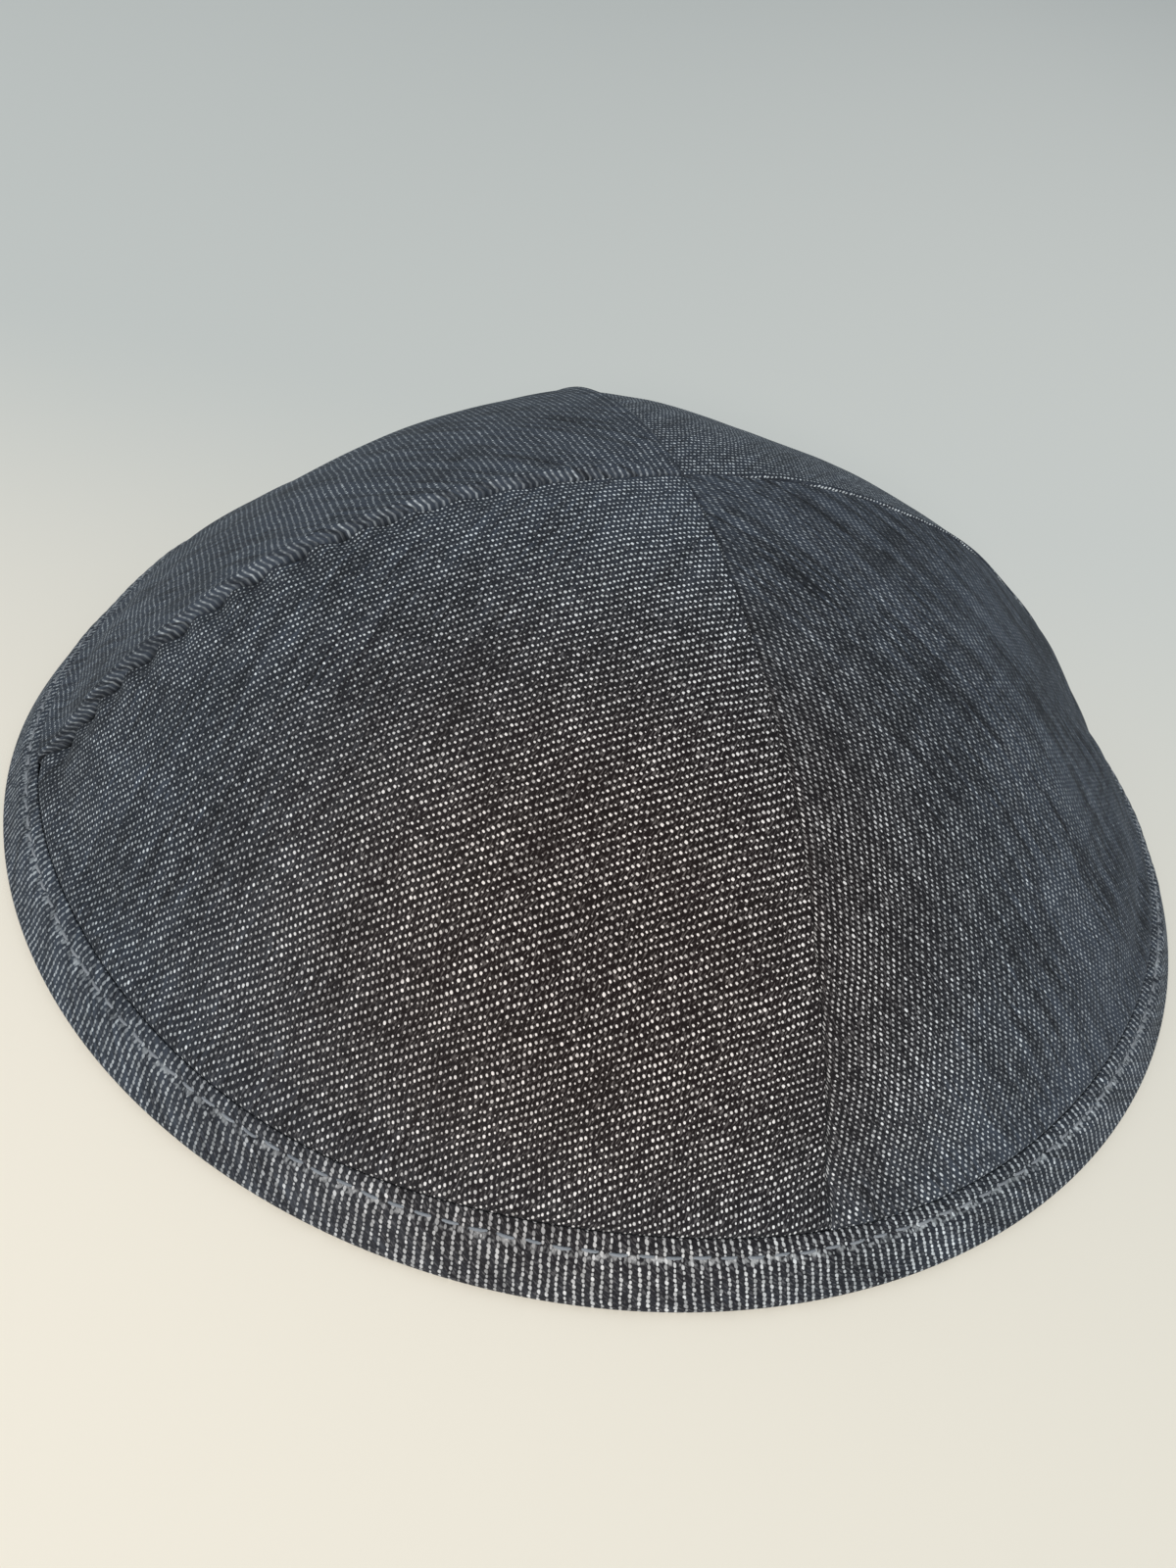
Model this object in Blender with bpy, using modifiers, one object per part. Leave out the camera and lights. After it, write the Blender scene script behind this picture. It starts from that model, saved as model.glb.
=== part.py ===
"""A four-gore cloth skullcap (kippah), rim down, built from named sizes.

Units are metres, +Z is up and the rim rests on the plane z = 0.
Four denim gores meet in seams over the X and Y axes. A strip of the same cloth,
folded over their lower edges, binds the rim.
"""

import math

import bmesh
import bpy
from mathutils import Vector

# Driving sizes
RIM_RADIUS = 0.085
HEIGHT = 0.0487
CLOTH = 0.0012
LEAF = 0.0010
CLEARANCE = 0.0003
BINDING_WIDTH = 0.0069
FOLD_RADIUS = 0.0010
RIM_LEAN = math.radians(51)
TURNING_WIDTH = 0.008
TURNING_THICKNESS = 0.0008

# Mesh fineness
GORE_COLUMNS = 17
GORE_ROWS = 17
BINDING_SEGMENTS = 72
FOLD_STEPS = 4

# How far a gore's surface runs past its seam planes before it is cut there
OVERRUN = math.radians(2.5)
# Radius of the small hole at the apex, inside what the cutters take away
TIP_RADIUS = 0.0001

QUARTER = math.pi / 2

# The seams' line above the binding.
# Columns: radius as a share of the shoulder's, height as a share of what is above it
SEAM_LINE = (
    (1.000, 0.000),
    (0.843, 0.343),
    (0.632, 0.694),
    (0.421, 0.885),
    (0.211, 0.983),
    (0.000, 1.000),
)

# How far each level of a gore flattens from a round arc towards a straight line
# between its two seams. Columns: height as a share of HEIGHT, flatness
FLATNESS = (
    (0.20, 0.00),
    (0.36, 0.12),
    (0.66, 0.30),
    (1.00, 0.63),
)

# Broad swells and hollows of the cloth, a row for each.
# Columns: azimuth in degrees, height as a share of HEIGHT, half width in degrees,
# half height as a share of HEIGHT, depth as a share of CLOTH (swells are positive)
DENTS = (
    (-40.0, 0.62, 24.0, 0.30, 0.45),
    (-12.0, 0.40, 9.0, 0.16, -0.55),
    (-24.0, 0.36, 8.0, 0.14, 0.40),
    (128.0, 0.45, 30.0, 0.30, -0.40),
    (-172.0, 0.40, 7.0, 0.16, -0.65),
    (-135.0, 0.50, 26.0, 0.30, 0.35),
    (40.0, 0.55, 26.0, 0.30, 0.35),
    (-2.0, 0.46, 17.0, 0.24, 0.70),
    (22.0, 0.77, 32.0, 0.21, 0.50),
    (76.0, 0.82, 24.0, 0.16, 0.30),
)

# Gores. Columns: name, azimuth of its middle in degrees, colour
GORES = (
    ("panel_front", -135.0, (0.085, 0.080, 0.082)),
    ("panel_right", -45.0, (0.075, 0.078, 0.090)),
    ("panel_back", 45.0, (0.075, 0.078, 0.090)),
    ("panel_left", 135.0, (0.080, 0.080, 0.086)),
)
BINDING_COLOUR = (0.105, 0.108, 0.112)
CLOTH_ROUGHNESS = 0.9

# Sizes that follow from those above
SLOPE_UP = Vector((-math.cos(RIM_LEAN), math.sin(RIM_LEAN)))
SLOPE_OUT = Vector((math.sin(RIM_LEAN), math.cos(RIM_LEAN)))
FOLD_CENTRE = Vector((RIM_RADIUS - FOLD_RADIUS, FOLD_RADIUS))
SIDE_START = FOLD_CENTRE + FOLD_RADIUS * SLOPE_OUT
SHOULDER = SIDE_START + BINDING_WIDTH * SLOPE_UP
GORE_INSET = (LEAF + CLEARANCE) / math.sin(RIM_LEAN)
GORE_END_HEIGHT = LEAF + CLEARANCE + CLOTH * math.cos(RIM_LEAN)
INSET_FADE = 0.35


def smooth(value):
    """0 to 1 with level ends, for a value that runs from 0 to 1."""
    value = min(max(value, 0.0), 1.0)
    return value * value * (3 - 2 * value)


def hermite(start, end, start_slope, end_slope, share):
    square = share * share
    cube = square * share
    return (
        start * (2 * cube - 3 * square + 1)
        + start_slope * (cube - 2 * square + share)
        + end * (3 * square - 2 * cube)
        + end_slope * (cube - square)
    )


def seam_point(share):
    """Radius and height of the bare seam line: 0 at the floor's level, 1 at the apex."""
    points = [Vector((r * SHOULDER.x, SHOULDER.y + z * (HEIGHT - SHOULDER.y))) for r, z in SEAM_LINE]
    floor_point = SHOULDER - SLOPE_UP * (SHOULDER.y / SLOPE_UP.y)
    steps = [(points[0] - floor_point).length]
    steps += [(b - a).length for a, b in zip(points, points[1:])]
    along = share * sum(steps)
    if along <= steps[0]:
        return floor_point + SLOPE_UP * along
    along -= steps.pop(0)
    slopes = [SLOPE_UP]
    for index in range(1, len(points) - 1):
        slopes.append((points[index + 1] - points[index - 1]) / (steps[index - 1] + steps[index]))
    slopes.append(Vector((-1, 0)))
    index = 0
    while along > steps[index] and index < len(steps) - 1:
        along -= steps[index]
        index += 1
    step = steps[index]
    return hermite(
        points[index],
        points[index + 1],
        slopes[index] * step,
        slopes[index + 1] * step,
        min(along / step, 1.0),
    )


def flatness(height):
    share = height / HEIGHT
    if share <= FLATNESS[0][0]:
        return 0.0
    for (low, start), (high, end) in zip(FLATNESS, FLATNESS[1:]):
        if share <= high:
            part = (share - low) / (high - low)
            return start + (end - start) * (part if low > FLATNESS[0][0] else part * part)
    return FLATNESS[-1][1]


def bare_point(azimuth, middle, share):
    """A point of a gore's outer face before the dents."""
    radius, height = seam_point(share)
    above = (height - SHOULDER.y) / (HEIGHT - SHOULDER.y)
    radius -= GORE_INSET * (1 - smooth(above / INSET_FADE))
    chord = math.cos(QUARTER / 2) / math.cos(azimuth - middle)
    flat = flatness(height)
    radius = max(radius * (1 - flat + flat * chord), TIP_RADIUS)
    return Vector((radius * math.cos(azimuth), radius * math.sin(azimuth), height))


def dent_depth(azimuth, height):
    depth = 0.0
    for turn, level, half_width, half_height, share in DENTS:
        away = math.remainder(azimuth - math.radians(turn), 2 * math.pi) / math.radians(half_width)
        apart = (height / HEIGHT - level) / half_height
        depth += share * CLOTH * smooth(1 - math.hypot(away, apart))
    bound = smooth((height - SHOULDER.y) / (INSET_FADE * (HEIGHT - SHOULDER.y)))
    return depth * bound


def gore_point(azimuth, middle, share):
    """A point of a gore's outer face, dents included."""
    point = bare_point(azimuth, middle, share)
    nudge = 1e-3
    across = bare_point(azimuth + nudge, middle, share) - bare_point(azimuth - nudge, middle, share)
    upward = bare_point(azimuth, middle, share + nudge) - bare_point(azimuth, middle, share - nudge)
    normal = across.cross(upward)
    if normal.length == 0:
        return point
    return point + normal.normalized() * dent_depth(azimuth, point.z)


def lowest_share():
    """The share of the seam line at which the gores end, inside the binding."""
    low, high = 0.0, 0.5
    for _ in range(40):
        middle = (low + high) / 2
        if seam_point(middle)[1] < GORE_END_HEIGHT:
            low = middle
        else:
            high = middle
    return high


def cloth_material(name, colour):
    material = bpy.data.materials.new(name)
    material.use_nodes = True
    shader = material.node_tree.nodes["Principled BSDF"]
    shader.inputs["Base Color"].default_value = (*colour, 1.0)
    shader.inputs["Roughness"].default_value = CLOTH_ROUGHNESS
    shader.inputs["Metallic"].default_value = 0.0
    return material


def add_object(name, mesh, collection, colour):
    thing = bpy.data.objects.new(name, mesh)
    collection.objects.link(thing)
    mesh.materials.append(cloth_material(name + "_cloth", colour))
    return thing


def seam_cutter(name, middle, collection):
    """A block over one quarter, clear of both seam planes by half the clearance."""
    side = 1.5 * RIM_RADIUS
    tall = 2 * HEIGHT
    bpy.ops.mesh.primitive_cube_add(size=1)
    cutter = bpy.context.object
    cutter.name = name + "_cutter"
    reach = CLEARANCE / 2 + side / 2
    cutter.scale = (side, side, tall)
    cutter.location = (
        math.copysign(reach, math.cos(middle)),
        math.copysign(reach, math.sin(middle)),
        HEIGHT / 2,
    )
    for owner in list(cutter.users_collection):
        owner.objects.unlink(cutter)
    collection.objects.link(cutter)
    cutter.hide_render = True
    cutter.display_type = "WIRE"
    return cutter


def make_gore(name, middle, colour, parts, cutters):
    """One gore: an open surface mapped from a grid, thickened inwards, then cut at its seams."""
    cage = bmesh.new()
    bmesh.ops.create_grid(cage, x_segments=GORE_COLUMNS, y_segments=GORE_ROWS, size=1.0)
    start = lowest_share()
    weights = cage.verts.layers.deform.new()
    thickest = CLOTH + TURNING_THICKNESS
    for vertex in cage.verts:
        across, upward = vertex.co.x, (vertex.co.y + 1) / 2
        azimuth = middle + across * (QUARTER / 2 + OVERRUN)
        vertex.co = gore_point(azimuth, middle, start + (1 - start) * upward)
        from_seam = min(abs(vertex.co.x), abs(vertex.co.y))
        turned = from_seam < TURNING_WIDTH and vertex.co.z > SHOULDER.y + CLOTH
        vertex[weights][0] = 1.0 if turned else CLOTH / thickest
    mesh = bpy.data.meshes.new(name)
    cage.to_mesh(mesh)
    cage.free()
    gore = add_object(name, mesh, parts, colour)
    gore.vertex_groups.new(name="thickness")
    mesh.shade_smooth()
    wall = gore.modifiers.new("wall", "SOLIDIFY")
    wall.thickness = thickest
    wall.offset = -1.0
    wall.vertex_group = "thickness"
    seams = gore.modifiers.new("seams", "BOOLEAN")
    seams.operation = "INTERSECT"
    seams.solver = "EXACT"
    seams.object = seam_cutter(name, middle, cutters)
    return gore


def binding_profile():
    """The folded strip's section as radius and height, down its outer side and back up inside."""
    inner_face = LEAF + CLEARANCE + CLOTH + CLEARANCE
    depth = inner_face + LEAF
    outer_top = SIDE_START + (BINDING_WIDTH - FOLD_RADIUS) * SLOPE_UP

    def beside(offset, height=None):
        """The point of the line this far inside the outer face, level with its top or at a height."""
        top = outer_top - SLOPE_OUT * offset
        if height is None:
            return top
        return top - SLOPE_UP * ((top.y - height) / SLOPE_UP.y)

    round_top = LEAF / 4
    points = [outer_top + SLOPE_UP * round_top - SLOPE_OUT * LEAF / 2]
    points.append(outer_top)
    for step in range(FOLD_STEPS + 1):
        turn = math.pi / 2 - RIM_LEAN - step / FOLD_STEPS * (math.pi - RIM_LEAN)
        points.append(FOLD_CENTRE + FOLD_RADIUS * Vector((math.cos(turn), math.sin(turn))))
    points.append(beside(depth, 0.0) + Vector((FOLD_RADIUS, 0.0)))
    points.append(beside(depth, FOLD_RADIUS / 2))
    points.append(beside(depth))
    points.append(beside(depth - LEAF / 2) + SLOPE_UP * round_top)
    points.append(beside(inner_face))
    points.append(beside(inner_face, LEAF))
    points.append(beside(LEAF, LEAF))
    points.append(beside(LEAF))
    return points


def make_binding(parts):
    """The rim's strip, turned round the axis as one closed U of cloth."""
    section = bmesh.new()
    vertices = [section.verts.new((point.x, 0.0, point.y)) for point in binding_profile()]
    for index, vertex in enumerate(vertices):
        section.edges.new((vertices[index - 1], vertex))
    mesh = bpy.data.meshes.new("rim_binding")
    section.to_mesh(mesh)
    section.free()
    binding = add_object("rim_binding", mesh, parts, BINDING_COLOUR)
    turned = binding.modifiers.new("turned", "SCREW")
    turned.steps = BINDING_SEGMENTS
    turned.render_steps = BINDING_SEGMENTS
    turned.use_smooth_shade = True
    turned.use_merge_vertices = False
    return binding


def main():
    for thing in list(bpy.data.objects):
        bpy.data.objects.remove(thing, do_unlink=True)
    parts = bpy.data.collections.new("skullcap")
    cutters = bpy.data.collections.new("cutters")
    bpy.context.scene.collection.children.link(parts)
    bpy.context.scene.collection.children.link(cutters)
    for name, middle, colour in GORES:
        make_gore(name, math.radians(middle), colour, parts, cutters)
    make_binding(parts)


main()
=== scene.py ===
"""The dressed skullcap: denim gores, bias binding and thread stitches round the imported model."""

import math

import bpy
import numpy as np
from mathutils import Matrix, Vector


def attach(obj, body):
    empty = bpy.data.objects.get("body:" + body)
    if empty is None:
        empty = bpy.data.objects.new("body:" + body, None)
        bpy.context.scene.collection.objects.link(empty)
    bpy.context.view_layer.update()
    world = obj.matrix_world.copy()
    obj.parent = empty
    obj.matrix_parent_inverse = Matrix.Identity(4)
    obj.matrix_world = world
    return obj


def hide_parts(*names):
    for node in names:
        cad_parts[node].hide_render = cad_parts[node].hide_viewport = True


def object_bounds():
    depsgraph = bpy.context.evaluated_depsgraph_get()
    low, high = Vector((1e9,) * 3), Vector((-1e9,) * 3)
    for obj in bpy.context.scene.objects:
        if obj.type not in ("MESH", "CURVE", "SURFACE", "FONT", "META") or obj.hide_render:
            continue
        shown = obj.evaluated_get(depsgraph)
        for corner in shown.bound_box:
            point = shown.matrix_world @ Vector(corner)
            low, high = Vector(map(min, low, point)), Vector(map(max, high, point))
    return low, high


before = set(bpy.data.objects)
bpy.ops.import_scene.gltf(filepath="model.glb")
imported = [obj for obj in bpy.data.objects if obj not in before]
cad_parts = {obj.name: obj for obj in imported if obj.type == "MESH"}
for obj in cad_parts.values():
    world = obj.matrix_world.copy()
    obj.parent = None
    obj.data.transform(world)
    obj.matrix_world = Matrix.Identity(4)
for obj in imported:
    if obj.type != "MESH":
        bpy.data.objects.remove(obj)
CAD_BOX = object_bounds()

MM = 0.001

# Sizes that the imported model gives
RIM_RADIUS = (CAD_BOX[1][0] - CAD_BOX[0][0]) / 2
HEIGHT = CAD_BOX[1][2] - CAD_BOX[0][2]

# Sizes of the cloth, in metres
CLOTH = 1.2 * MM
LEAF = 1.0 * MM
CLEARANCE = 0.3 * MM
BINDING_WIDTH = 6.9 * MM
FOLD_RADIUS = 1.0 * MM
RIM_LEAN = math.radians(51)
TURNING_WIDTH = 8.0 * MM
TURNING_THICKNESS = 0.8 * MM
QUARTER = math.pi / 2

# The seams' line above the binding.
# Columns: radius as a share of the shoulder's, height as a share of what is above it
SEAM_LINE = (
    (1.000, 0.000),
    (0.843, 0.343),
    (0.632, 0.694),
    (0.421, 0.885),
    (0.211, 0.983),
    (0.000, 1.000),
)

# How far each level of a gore flattens towards a straight line between its seams.
# Columns: height as a share of HEIGHT, flatness
FLATNESS = (
    (0.20, 0.00),
    (0.36, 0.12),
    (0.66, 0.30),
    (1.00, 0.63),
)

# Broad swells and hollows, a row for each.
# Columns: azimuth in degrees, height as a share of HEIGHT, half width in degrees,
# half height as a share of HEIGHT, depth as a share of CLOTH (swells are positive)
DENTS = (
    (-40.0, 0.62, 24.0, 0.30, 0.45),
    (-12.0, 0.40, 9.0, 0.16, -0.55),
    (-24.0, 0.36, 8.0, 0.14, 0.40),
    (128.0, 0.45, 30.0, 0.30, -0.40),
    (-172.0, 0.40, 7.0, 0.16, -0.65),
    (-135.0, 0.50, 26.0, 0.30, 0.35),
    (40.0, 0.55, 26.0, 0.30, 0.35),
    (-2.0, 0.46, 17.0, 0.24, 0.70),
    (22.0, 0.77, 32.0, 0.21, 0.50),
    (76.0, 0.82, 24.0, 0.16, 0.30),
)

# Shallow folds of slack cloth, a row for each.
# Columns: waves round the rim, radians of slant per metre down the slope, phase, depth
FOLDS = (
    (11, 47.0, 0.4, 0.10 * MM),
    (17, -65.0, 1.9, 0.08 * MM),
    (29, 88.0, 4.1, 0.05 * MM),
    (43, -35.0, 2.7, 0.03 * MM),
)

# How far above the binding the folds fade, and the share that is left of them above that
FOLDS_TOP = 0.5 * HEIGHT
FOLDS_ABOVE = 0.25

# The radius of a gore's curve across its middle line, for measuring the cloth
CROSS_CURVE = 75 * MM

# The swell above the binding: where it starts over the binding's edge, rises, tops and falls
PUFF_START = -0.4 * MM
PUFF_RISE = 1.4 * MM
PUFF_TOP = 1.2 * MM
PUFF_FALL = 4.5 * MM
PUFF_DEPTH = 0.8 * MM

# Gathers by the right seam
GATHER_AZIMUTH = math.radians(-10)
GATHER_SPREAD = math.radians(20)
GATHER_WAVES = 51
GATHER_DEPTH = 0.22 * MM

# The rim is drawn in a little on one side, up to BOW_TOP
BOW_AZIMUTH = math.radians(154)
BOW_SPREAD = math.radians(14)
BOW_DEPTH = 1.7 * MM
BOW_TOP = 0.6 * HEIGHT

# Gores. Columns: node, azimuth of its middle, and how far the cloth stands over (positive)
# or dips under its neighbour beside its seams at the lower and at the higher azimuth
GORES = (
    ("panel_front", -135.0, -0.55 * MM, -0.22 * MM),
    ("panel_right", -45.0, 0.35 * MM, -0.25 * MM),
    ("panel_back", 45.0, 0.12 * MM, -0.25 * MM),
    ("panel_left", 135.0, 0.40 * MM, 0.75 * MM),
)

# The apex lies a little off the axis, and the cloth follows it out to APEX_REACH
APEX_SHIFT = Vector((0.9 * MM, 0.5 * MM))
APEX_REACH = 36 * MM

# Mesh fineness. A gore's rows start FIRST_ROW from the apex and crowd towards the rim.
# The binding's section has steps round each leaf's edge, down its faces and round its fold.
# A gore's middle line is measured in steps, and its lean is averaged over a window of them
FIRST_ROW = 0.15 * MM
ROW_CROWDING = 0.2
GORE_COLUMNS = 161
GORE_ROWS = 171
BINDING_STITCHES = 178
COLUMNS_PER_STITCH = 6
LEAF_EDGE_STEPS = 6
OUTER_STEPS = 28
BEND_STEPS = 10
INNER_STEPS = 7
HIDDEN_STEPS = 3
LINE_STEPS = 600
LEAN_WINDOW = 41

# The dressed cloth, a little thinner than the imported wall, and where it leaves the binding.
# Nearer the apex than FACING_START its facing is taken from there
FACING_START = 1 * MM
WALL = CLOTH - 0.1 * MM
WALL_BY_DIP = 0.5
LEAVES_BINDING = 1 * MM
LEAVING_REACH = 4 * MM

# Seams: the gap, the groove in it, and the rounded edges of the side that stands over
# and of the side that dips. One share of the stand spreads over the whole turning
# and the other is a narrow lip by the edge
SEAM_GAP = 0.03 * MM
FOLD_EDGE = 0.5 * MM
DIP_EDGE = 0.4 * FOLD_EDGE
DIP_WIDTH = 2.2 * MM
GROOVE_DEPTH = 0.4 * MM
GROOVE_WIDTH = 2.2 * SEAM_GAP
PLATEAU_START = 0.5 * TURNING_WIDTH
PLATEAU_FALL = 0.9 * TURNING_WIDTH
TURNING_STAND = 0.55
LIP_STAND = 0.45
LIP_PLACE = 0.9 * MM
LIP_WIDTH = 1.1 * MM
TURNING_SOFTNESS = 0.6 * MM
APEX_SEAM_SHARE = 0.15
APEX_SEAM_REACH = 14 * MM
SEAM_UNDER_BINDING = 0.35

# The twill that shows on a turned-in edge
TURNED_SHOWN = 0.25 * MM
TURNED_SOLID = 0.3
TURNED_PER_LIFT = 0.5
TURNED_FULL_LIFT = 1.0 * MM

# Puckers beside the left seam, in the front gore
PUCKER_DEPTH = 0.9 * MM
PUCKER_PITCH = 6.0 * MM
PUCKER_WIDTH = 4 * MM
PUCKER_REACH = 50 * MM

# The back seam's crest is rounded off along the middle of its length
RIDGE_AZIMUTH = math.radians(90)
RIDGE_SPREAD = 8 * MM
RIDGE_ROUNDING = 0.55 * MM
RIDGE_RISE = 25 * MM
RIDGE_FALL_START = 45 * MM
RIDGE_FALL = 30 * MM

# The rounding inside the binding, just above the floor: levels and width, as shares of FOLD_RADIUS
HEEL_LEVELS = (0.15, 0.4, 0.9)
HEEL_ROUNDING = 0.35

# The binding's upper edge and its one row of stitches. THREAD_TWIST is the length of one turn
# of the thread, and THREAD_LOBES, a share of its radius, is how far its strands stand out
EDGE_TUCK = 0.5 * MM
EDGE_TUCK_REACH = 1.3 * MM
EDGE_RAISE = 0.35 * MM
EDGE_WANDER = 0.4 * MM
EDGE_WAVES = 7
EDGE_PHASE = math.radians(108)
STITCH_FROM_TOP = 1.2 * MM
STITCH_SHOWN = 0.78
TUFTS_BELOW_ROW = 0.45 * MM
THREAD_RADIUS = 0.19 * MM
THREAD_TWIST = 0.9 * MM
THREAD_LOBES = 0.14
THREAD_RINGS = 13
THREAD_SIDES = 10

# A stitch arches out of the cloth and sinks in at its ends, both as shares of the thread's radius.
# It thins to STITCH_END. Chance lifts, slants and shifts it, and it follows a share of
# the upper edge's wander
STITCH_ARCH = 2.0
STITCH_SINK = 1.75
STITCH_END = 0.75
CHANCE_LIFT = 0.15
CHANCE_SLANT = 0.06 * MM
CHANCE_SHIFT = 0.05 * MM
STITCH_WANDER = 0.45
STITCH_SEED = 7

# The binding's swell above and below the stitches, and how they pull it in.
# A wave's columns: waves round the rim, phase, depth
UPPER_SWELL = 0.20 * MM
LOWER_SWELL = 0.26 * MM
STITCH_DIP = 0.20 * MM
HOLE_DIP = 0.14 * MM
DIP_SPREAD = 0.5 * MM
HOLE_FLATTENS = 0.25
BINDING_WAVES = (
    (23, 1.0, 0.05 * MM),
    (41, 2.0, 0.04 * MM),
)

# The weave, in millimetres: its pitches, and how many weft threads it is from one dot to the next
# along a warp thread. BIAS_SQUEEZE scales the bias strip's coordinates, so that its weave is
# stretched along it and squeezed across it
WARP_PITCH = 0.39
WEFT_PITCH = 0.43
REPEAT_WEFTS = 3.0
DOT_STEP = REPEAT_WEFTS * WEFT_PITCH
BIAS_SQUEEZE = (0.93, 1.18)
MM_PER_METRE = 1000

# The camera, turned about +Z from a view along +Y
CAMERA_AZIMUTH = math.radians(-23.38)
CAMERA_ELEVATION = math.radians(41.73)
CAMERA_ROLL = math.radians(12.24)
CAMERA_DISTANCE = 178.7 * MM
CAMERA_TARGET = Vector((-5.11 * MM, -4.76 * MM, 0.0))
FOCAL_PIXELS = 1215
PHOTO_LONG_SIDE = 1600
SENSOR_MM = 36.0

# Sizes that follow from those above
SLOPE_UP = np.array((-math.cos(RIM_LEAN), math.sin(RIM_LEAN)))
SLOPE_OUT = np.array((math.sin(RIM_LEAN), math.cos(RIM_LEAN)))
FOLD_CENTRE = np.array((RIM_RADIUS - FOLD_RADIUS, FOLD_RADIUS))
SIDE_START = FOLD_CENTRE + FOLD_RADIUS * SLOPE_OUT
SHOULDER = SIDE_START + BINDING_WIDTH * SLOPE_UP
BINDING_TOP = BINDING_WIDTH - FOLD_RADIUS
EDGE_ROUND = (LEAF - EDGE_TUCK) / 2
STITCH_ROW = BINDING_TOP - STITCH_FROM_TOP
TUFT_LINE = -(math.pi * EDGE_ROUND + STITCH_FROM_TOP + TUFTS_BELOW_ROW) / MM
STITCH_TURN = 2 * math.pi / BINDING_STITCHES
GORE_INSET = (LEAF + CLEARANCE) / math.sin(RIM_LEAN)
GORE_END_HEIGHT = LEAF + CLEARANCE + CLOTH * math.cos(RIM_LEAN)
INSET_FADE = 0.35


def smooth(value):
    """0 to 1 with level ends, for values that run from 0 to 1."""
    value = np.clip(value, 0.0, 1.0)
    return value * value * (3 - 2 * value)


def bell(distance, width):
    return np.exp(-((distance / width) ** 2))


def wrapped(angle):
    return (angle + math.pi) % (2 * math.pi) - math.pi


# The shell's shape

def hermite(start, end, start_slope, end_slope, share):
    square = share * share
    cube = square * share
    return (
        start * (2 * cube - 3 * square + 1)
        + start_slope * (cube - 2 * square + share)
        + end * (3 * square - 2 * cube)
        + end_slope * (cube - square)
    )


def seam_line(steps_per_row=120):
    """Distance from the apex, radius and height, densely along the bare seam line."""
    rows = np.array(SEAM_LINE)
    above = HEIGHT - SHOULDER[1]
    points = np.column_stack((rows[:, 0] * SHOULDER[0], SHOULDER[1] + rows[:, 1] * above))
    steps = np.linalg.norm(np.diff(points, axis=0), axis=1)
    slopes = [SLOPE_UP]
    for index in range(1, len(points) - 1):
        slopes.append((points[index + 1] - points[index - 1]) / (steps[index - 1] + steps[index]))
    slopes.append(np.array((-1.0, 0.0)))
    share = np.linspace(0, 1, steps_per_row, endpoint=False)[:, None]
    floor_point = SHOULDER - SLOPE_UP * (SHOULDER[1] / SLOPE_UP[1])
    line = [floor_point + (points[0] - floor_point) * share]
    for index, step in enumerate(steps):
        start_slope = slopes[index] * step
        end_slope = slopes[index + 1] * step
        line.append(hermite(points[index], points[index + 1], start_slope, end_slope, share))
    line.append(points[-1:])
    line = np.vstack(line)[::-1]
    distance = np.concatenate(([0.0], np.cumsum(np.linalg.norm(np.diff(line, axis=0), axis=1))))
    return distance, line[:, 0], line[:, 1]


LINE_DISTANCE, LINE_RADIUS, LINE_HEIGHT = seam_line()


def flatness(height):
    table = np.array(FLATNESS)
    share = height / HEIGHT
    flat = np.interp(share, table[:, 0], table[:, 1])
    low, high = table[0, 0], table[1, 0]
    first = np.clip((share - low) / (high - low), 0, 1)
    return np.where(share < high, table[1, 1] * first * first, flat)


def rim_bow(azimuth, height):
    """How far the wall is drawn in towards the axis."""
    beside = wrapped(azimuth - BOW_AZIMUTH)
    return BOW_DEPTH * bell(beside, BOW_SPREAD) * smooth(1 - height / BOW_TOP)


def bare_surface(azimuth, middle, distance, inset=GORE_INSET):
    """Points of a gore's outer face before any dent, by azimuth and distance from the apex."""
    radius = np.interp(distance, LINE_DISTANCE, LINE_RADIUS)
    height = np.interp(distance, LINE_DISTANCE, LINE_HEIGHT)
    above = (height - SHOULDER[1]) / (HEIGHT - SHOULDER[1])
    radius = radius - inset * (1 - smooth(above / INSET_FADE))
    chord = math.cos(QUARTER / 2) / np.cos(azimuth - middle)
    flat = flatness(height)
    radius = radius * (1 - flat + flat * chord) - rim_bow(azimuth, height)
    shift = smooth(1 - radius / APEX_REACH)
    x = radius * np.cos(azimuth) + APEX_SHIFT.x * shift
    y = radius * np.sin(azimuth) + APEX_SHIFT.y * shift
    return np.stack((x, y, height), axis=-1)


def surface_normals(azimuth, middle, distance):
    turn, step = 1e-3, 0.05 * MM
    across = bare_surface(azimuth + turn, middle, distance)
    across = across - bare_surface(azimuth - turn, middle, distance)
    down = bare_surface(azimuth, middle, distance + step)
    down = down - bare_surface(azimuth, middle, distance - step)
    normals = np.cross(down, across)
    return normals / np.linalg.norm(normals, axis=-1, keepdims=True)


def dent_depth(azimuth, height):
    depth = np.zeros(np.broadcast(azimuth, height).shape)
    for turn, level, half_width, half_height, share in DENTS:
        away = wrapped(azimuth - math.radians(turn)) / math.radians(half_width)
        apart = (height / HEIGHT - level) / half_height
        depth += share * CLOTH * smooth(1 - np.hypot(away, apart))
    bound = smooth((height - SHOULDER[1]) / (INSET_FADE * (HEIGHT - SHOULDER[1])))
    return depth * bound


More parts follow.
